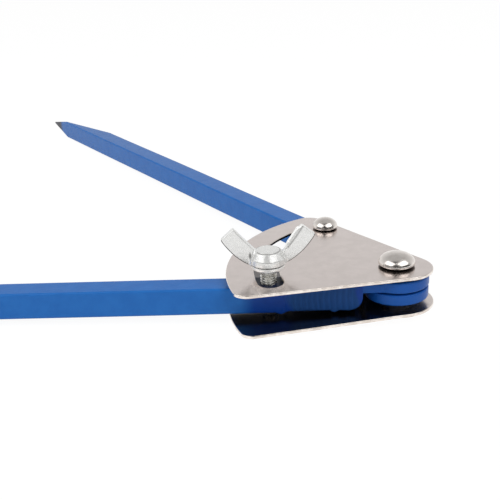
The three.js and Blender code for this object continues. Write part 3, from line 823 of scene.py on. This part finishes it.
def effect(name, build, outputs, **inputs):
    """A shader node group, built once and used by several finishes.

    Each input comes with a first value: a number, a vector of three or a colour of four.
    """
    group = bpy.data.node_groups.new(name, "ShaderNodeTree")
    kinds = {1: "NodeSocketFloat", 3: "NodeSocketVector", 4: "NodeSocketColor"}
    for label, value in inputs.items():
        socket = group.interface.new_socket(label, in_out="INPUT", socket_type=kinds[np.size(value)])
        socket.default_value = value
    for label, size in outputs.items():
        group.interface.new_socket(label, in_out="OUTPUT", socket_type=kinds[size])
    source, sink = group.nodes.new("NodeGroupInput"), group.nodes.new("NodeGroupOutput")
    source.location, sink.location = (-300, 0), (900, 0)
    build(group, source, sink)


def use(tree, name, **values):
    """One use of an effect in a material, with its own values."""
    return given(node(tree, "Group", node_tree=bpy.data.node_groups[name]), **values)


def build_mottle(group, source, sink):
    """Two colours mixed by soft noise, whose scale counts its waves in a metre."""
    coordinates = node(group, "TexCoord")
    mapping = node(group, "Mapping")
    noise = node(group, "TexNoise", Detail=4.0, Roughness=0.6)
    spread = node(group, "MapRange", From_Min=0.36, From_Max=0.64)
    mix = colour_mix(group)
    wire(group, (coordinates, "Object", mapping, "Vector"), (source, "Stretch", mapping, "Scale"),
         (mapping, "Vector", noise, "Vector"), (source, "Scale", noise, "Scale"),
         (noise, "Fac", spread, "Value"), (spread, "Result", mix, 0), (source, "Light", mix, 6),
         (source, "Dark", mix, 7), (mix, 2, sink, "Color"), (spread, "Result", sink, "Mask"))


def build_relief(group, source, sink):
    """Normal from two noises: a fine one and a stronger one that is about four times as coarse."""
    coordinates = node(group, "TexCoord")
    mapping = node(group, "Mapping")
    fine = node(group, "TexNoise", Detail=3.0, Roughness=0.55)
    coarse_scale = node(group, "Math", 0.23, operation="MULTIPLY")
    coarse = node(group, "TexNoise", Detail=2.0, Roughness=0.5)
    total = node(group, "Math", 2.2, operation="MULTIPLY_ADD")
    bump = node(group, "Bump")
    wire(group, (coordinates, "Object", mapping, "Vector"), (source, "Stretch", mapping, "Scale"),
         (mapping, "Vector", fine, "Vector"), (mapping, "Vector", coarse, "Vector"),
         (source, "Scale", fine, "Scale"), (source, "Scale", coarse_scale, 0),
         (coarse_scale, "Value", coarse, "Scale"), (coarse, "Fac", total, 0), (fine, "Fac", total, 2),
         (total, "Value", bump, "Height"), (source, "Strength", bump, "Strength"),
         (source, "Depth", bump, "Distance"), (bump, "Normal", sink, "Normal"))


def build_wear(group, source, sink):
    """Mask of rubbed edges: the edge mark of the mesh, broken up by noise."""
    mark = node(group, "Attribute", attribute_name="edge")
    coordinates = node(group, "TexCoord")
    noise = node(group, "TexNoise", Detail=5.0, Roughness=0.65)
    spread = node(group, "MapRange", From_Min=0.3, From_Max=0.7)
    total = node(group, "Math", operation="MULTIPLY")
    high = node(group, "Math", 0.16, operation="ADD")
    threshold = node(group, "MapRange")
    wire(group, (coordinates, "Object", noise, "Vector"), (source, "Scale", noise, "Scale"),
         (noise, "Fac", spread, "Value"), (mark, "Fac", total, 0), (spread, "Result", total, 1),
         (total, "Value", threshold, "Value"), (source, "Threshold", threshold, "From Min"),
         (source, "Threshold", high, 0), (high, "Value", threshold, "From Max"),
         (threshold, "Result", sink, "Mask"))


def make_effects():
    """The three effects that the finishes share."""
    white, even = (1, 1, 1, 1), (1, 1, 1)
    effect("mottle", build_mottle, {"Color": 4, "Mask": 1}, Light=white, Dark=white, Scale=100, Stretch=even)
    effect("relief", build_relief, {"Normal": 3}, Scale=1000, Strength=0.2, Depth=0.0001, Stretch=even)
    effect("wear", build_wear, {"Mask": 1}, Scale=600, Threshold=0.4)


def finish(name):
    """A new material: its tree and its Principled shader."""
    made = bpy.data.materials.new(name)
    made.use_nodes = True
    return made, made.node_tree, made.node_tree.nodes["Principled BSDF"]


def spread_out(tree, value, **ranges):
    """A value carried from one range to another."""
    spread = node(tree, "MapRange", **ranges)
    tree.links.new(value, spread.inputs["Value"])
    return spread.outputs["Result"]


def mark_mask(tree, label, low, high):
    """A mark of the mesh, spread between two values."""
    mark = node(tree, "Attribute", attribute_name=label)
    return spread_out(tree, mark.outputs["Fac"], From_Min=low, From_Max=high)


def roughened(tree, shader, mask, smooth, rough):
    """Roughness that runs from smooth to rough as the mask runs from 0 to 1."""
    value = spread_out(tree, mask, To_Min=smooth, To_Max=rough)
    tree.links.new(value, shader.inputs["Roughness"])


def coloured(tree, shader, colour, *layers):
    """Base colour with others laid over it in turn. A layer is a mask and a colour or its socket."""
    for mask, over in layers:
        mix = colour_mix(tree)
        tree.links.new(mask, mix.inputs[0])
        tree.links.new(colour, mix.inputs[6])
        if isinstance(over, tuple):
            mix.inputs[7].default_value = over
        else:
            tree.links.new(over, mix.inputs[7])
        colour = mix.outputs[2]
    tree.links.new(colour, shader.inputs["Base Color"])


def uneven(tree, shader, **inputs):
    """Relief of a finish, by its scale, strength and depth."""
    relief = use(tree, "relief", **inputs)
    tree.links.new(relief.outputs["Normal"], shader.inputs["Normal"])


def blue_lacquer():
    """Glossy blue lacquer over forged steel: dull in the swaged root, bare dark steel at the point, with
    painted shade where the top plate covers the legs.
    """
    made, tree, shader = finish("blue_lacquer")
    cloud = use(tree, "mottle", Light=(0.017, 0.150, 0.490, 1),
                Dark=(0.014, 0.134, 0.455, 1), Scale=160.0)
    wear = use(tree, "wear", Scale=900.0, Threshold=0.62)
    swaged, bare = mark_mask(tree, "swaged", 0.2, 0.9), mark_mask(tree, "bare", 0.15, 0.85)
    coloured(tree, shader, cloud.outputs["Color"],
             # Painted shade under the top plate.
             (mark_mask(tree, "sheltered", 0.0, 1.0), (0.002, 0.046, 0.290, 1)),
             (swaged, (0.008, 0.060, 0.225, 1)),
             (mark_mask(tree, "rib", 0.45, 1.6), (0.014, 0.085, 0.300, 1)),
             (wear.outputs["Mask"], (0.11, 0.17, 0.30, 1)),
             # Deeper painted shade on the faces that the top plate covers.
             (mark_mask(tree, "seat", 0.0, 1.0), (0.008, 0.014, 0.042, 1)),
             (bare, (0.035, 0.040, 0.055, 1)))
    roughened(tree, shader, swaged, 0.34, 0.55)
    metallic = spread_out(tree, bare, To_Min=0.0, To_Max=0.85)
    tree.links.new(metallic, shader.inputs["Metallic"])
    given(shader, Specular_IOR_Level=0.2)
    uneven(tree, shader, Scale=900.0, Strength=0.35, Depth=0.00012)
    return made


def nickel_sheet():
    """Nickel plated sheet: clouded warm grey, fine rolling lines, painted shade where little light comes, and
    cut edges lightened as bare metal with a painted highlight.
    """
    made, tree, shader = finish("nickel_sheet")
    cloud = use(tree, "mottle", Light=(0.780, 0.705, 0.675, 1),
                Dark=(0.735, 0.665, 0.635, 1), Scale=260.0)
    # Cut edges: lighter bare metal, brightened further as a painted highlight.
    cut_edge_and_highlight = use(tree, "mottle", Light=(0.97, 0.90, 0.84, 1),
               Dark=(0.74, 0.66, 0.60, 1), Scale=300.0)
    lines = use(tree, "mottle", Light=(0, 0, 0, 1), Dark=(1, 1, 1, 1), Scale=60.0,
                Stretch=(1.0, 30.0, 1.0))
    coloured(tree, shader, cloud.outputs["Color"],
             # Painted shade on the slot wall and on the upper face of the lower plate.
             (mark_mask(tree, "sheltered", 0.0, 1.0), (0.20, 0.185, 0.18, 1)),
             # Painted highlight, partly bare metal, on the cut edges.
             (mark_mask(tree, "edge", 0.1, 0.9), cut_edge_and_highlight.outputs["Color"]))
    roughened(tree, shader, lines.outputs["Mask"], 0.20, 0.25)
    given(shader, Metallic=1.0)
    uneven(tree, shader, Scale=500.0, Strength=0.07, Depth=0.00004, Stretch=(0.4, 2.5, 1.0))
    return made


def clouded_metal(name, light, dark, scale, rough, metallic, layers=(), relief=None):
    """Metal with clouds in its colour and roughness. A layer is a mark, its spread and a colour."""
    made, tree, shader = finish(name)
    cloud = use(tree, "mottle", Light=light, Dark=dark, Scale=scale)
    coloured(tree, shader, cloud.outputs["Color"],
             *[(mark_mask(tree, label, low, high), colour) for label, low, high, colour in layers])
    roughened(tree, shader, cloud.outputs["Mask"], *rough)
    given(shader, Metallic=metallic)
    if relief:
        uneven(tree, shader, **relief)
    return made


def screw_and_rivet_metals():
    """Rivet heads as hammering leaves them, with painted shade below their rims; sandy cast zinc with painted
    shade in its creases and a painted highlight; and thread.
    """
    polished = clouded_metal("polished_nickel", (0.84, 0.79, 0.75, 1), (0.74, 0.69, 0.65, 1), 400,
                             # Painted shade under the rim of the head.
                             (0.2, 0.27), 1.0, [("sheltered", 0, 1, (0.035, 0.030, 0.026, 1))],
                             {"Scale": 350, "Strength": 0.1, "Depth": 0.0001})
    cast = clouded_metal("cast_zinc", (0.86, 0.86, 0.845, 1), (0.81, 0.81, 0.795, 1), 900,
                         # Painted highlight on the faces that catch the lamps.
                         (0.24, 0.32), 0.45, [("strip", 0.3, 0.9, (1.0, 1.0, 0.98, 1)),
                                              # Painted shade in the creases and round the hub.
                                              ("crease", 0.1, 0.8, (0.06, 0.056, 0.05, 1))],
                         {"Scale": 2200, "Strength": 0.18, "Depth": 0.0001})
    thread = clouded_metal("zinc_thread", (0.78, 0.77, 0.73, 1), (0.60, 0.59, 0.55, 1), 900,
                           (0.18, 0.3), 1.0)
    return polished, cast, thread


# ---- studio

def studio_floor():
    """Wide white floor at z = 0. The camera sees it nearly white, and it keeps the shadow."""
    half, glow_part = 3.0, 0.9
    points = half * np.array([[-1, -1, 0], [1, -1, 0], [1, 1, 0], [-1, 1, 0]])
    floor = linked("floor", new_mesh("floor", points, [(0, 1, 2, 3)]))
    made, tree, shader = finish("floor_white")
    given(shader, Base_Color=(0.85, 0.85, 0.85, 1), Roughness=0.9, Specular_IOR_Level=0.0)
    glow = node(tree, "Emission", Strength=1.05)
    mix = node(tree, "MixShader")
    path = node(tree, "LightPath")
    seen = node(tree, "Math", operation="MAXIMUM")
    part = node(tree, "Math", glow_part, operation="MULTIPLY")
    wire(tree, (path, "Is Camera Ray", seen, 0), (path, "Is Glossy Ray", seen, 1),
         (seen, "Value", part, 0), (part, "Value", mix, "Fac"), (shader, "BSDF", mix, 1),
         (glow, "Emission", mix, 2), (mix, "Shader", tree.nodes["Material Output"], "Surface"))
    floor.data.materials.append(made)


def studio_world():
    """Surroundings: white for the camera, even light for the diffuse shading, and a room for gloss.

    The room is white at the horizon and grey overhead, and dark on the side of the camera.
    """
    world = bpy.data.worlds.new("studio")
    bpy.context.scene.world = world
    world.use_nodes = True
    tree = world.node_tree
    tree.nodes.clear()
    coordinates = node(tree, "TexCoord")
    split = node(tree, "SeparateXYZ")
    height = node(tree, "ValToRGB")
    stops = height.color_ramp.elements
    for place, level in ((0.06, 0.92), (0.30, 0.82), (0.5, 0.66), (0.8, 0.48)):
        stops.new(place).color = (level, level, level, 1)
    stops.remove(stops[0])
    stops.remove(stops[-1])
    towards = node(tree, "MapRange", From_Min=-0.25, From_Max=0.1,
                   To_Min=0.05, To_Max=1.0)
    room = node(tree, "Math", operation="MULTIPLY")
    path = node(tree, "LightPath")
    soft, white, mirrored = (node(tree, "Background", Color=(1, 1, 1, 1), Strength=strength)
                             for strength in (0.42, 1.0, 1.0))
    for_gloss, for_camera = node(tree, "MixShader"), node(tree, "MixShader")
    output = node(tree, "OutputWorld")
    wire(tree, (coordinates, "Generated", split, "Vector"), (split, "Z", height, "Fac"),
         (split, "Y", towards, "Value"), (height, "Color", room, 0), (towards, "Result", room, 1),
         (room, "Value", mirrored, "Strength"), (path, "Is Glossy Ray", for_gloss, "Fac"),
         (soft, "Background", for_gloss, 1), (mirrored, "Background", for_gloss, 2),
         (path, "Is Camera Ray", for_camera, "Fac"), (for_gloss, "Shader", for_camera, 1),
         (white, "Background", for_camera, 2), (for_camera, "Shader", output, "Surface"))


def softbox(name, place):
    """Rectangular lamp that faces the tool."""
    lamp = bpy.data.lights.new(name, "AREA")
    lamp.shape, lamp.energy, (lamp.size, lamp.size_y) = "RECTANGLE", LAMP_POWER, LAMP_SIZE
    shown = linked(name, lamp)
    shown.location = place
    shown.rotation_euler = (Vector(LAMP_TARGET) - Vector(place)).to_track_quat("-Z", "Y").to_euler()


def studio_camera():
    """Camera of the photograph: heading, pitch and roll in the level frame, then tipped with it."""
    c, s = cos(CAMERA_PITCH), sin(CAMERA_PITCH)
    right, ahead, up = np.array([1.0, 0, 0]), np.array([0, c, -s]), np.array([0, s, c])
    c, s = cos(CAMERA_ROLL), sin(CAMERA_ROLL)
    right, up = c * right + s * up, c * up - s * right
    heading = turned(CAMERA_HEADING)
    made = bpy.data.cameras.new("photograph")
    made.lens, made.sensor_width, made.clip_start = CAMERA_LENS, SENSOR, 0.01
    shown = linked("photograph", made)
    matrix = Matrix((np.array([right, up, -ahead]) @ heading @ AXES).T.tolist()).to_4x4()
    matrix.translation = Vector(row(CAMERA_PLACE))
    shown.matrix_world = matrix
    bpy.context.scene.camera = shown


# ---- the caliper

def build_caliper():
    """All eight pieces, each in place of its solid."""
    make_effects()
    paint, sheet, (polished, cast, thread) = blue_lacquer(), nickel_sheet(), screw_and_rivet_metals()
    pivot, clamp, rear = (0, 0), polar(CLAMP_RADIUS, -CLAMP_LAG), polar(RIVET_RADIUS, RIVET_ANGLE)
    leg("front_leg", 0.0, -1, UPPER_EYE, True, (CLAMP_REACH, LEG_MIDDLE), CLAMP_HOLE, "swing_leg", paint)
    leg("rear_leg", OPENING, 1, LOWER_EYE, False, (RIVET_REACH, RIVET_SIDE), RIVET_HOLE, "frame", paint)
    holes = [hole_outline(pivot, PIVOT_BORE), hole_outline(rear, REAR_BORE)]
    top, bottom = plate_outline(TOP_PLAN), plate_outline(BOTTOM_PLAN)
    plate("top_plate", TOP_PLATE, [top, *holes, slot_outline], False, sheet)
    plate("bottom_plate", BOTTOM_PLATE, [bottom, *holes], True, sheet)
    rivet("pivot_rivet", pivot, polished, **PIVOT_RIVET)
    rivet("rear_rivet", rear, polished, **REAR_RIVET)
    wing_head(clamp, cast)
    screw_stud(clamp, thread)


build_caliper()
studio_camera()
studio_floor()
studio_world()
softbox("left_softbox", (-0.53, -0.45, 0.72))
softbox("right_softbox", (0.60, -0.53, 0.78))

scene = bpy.context.scene
scene.view_settings.view_transform = "Standard"
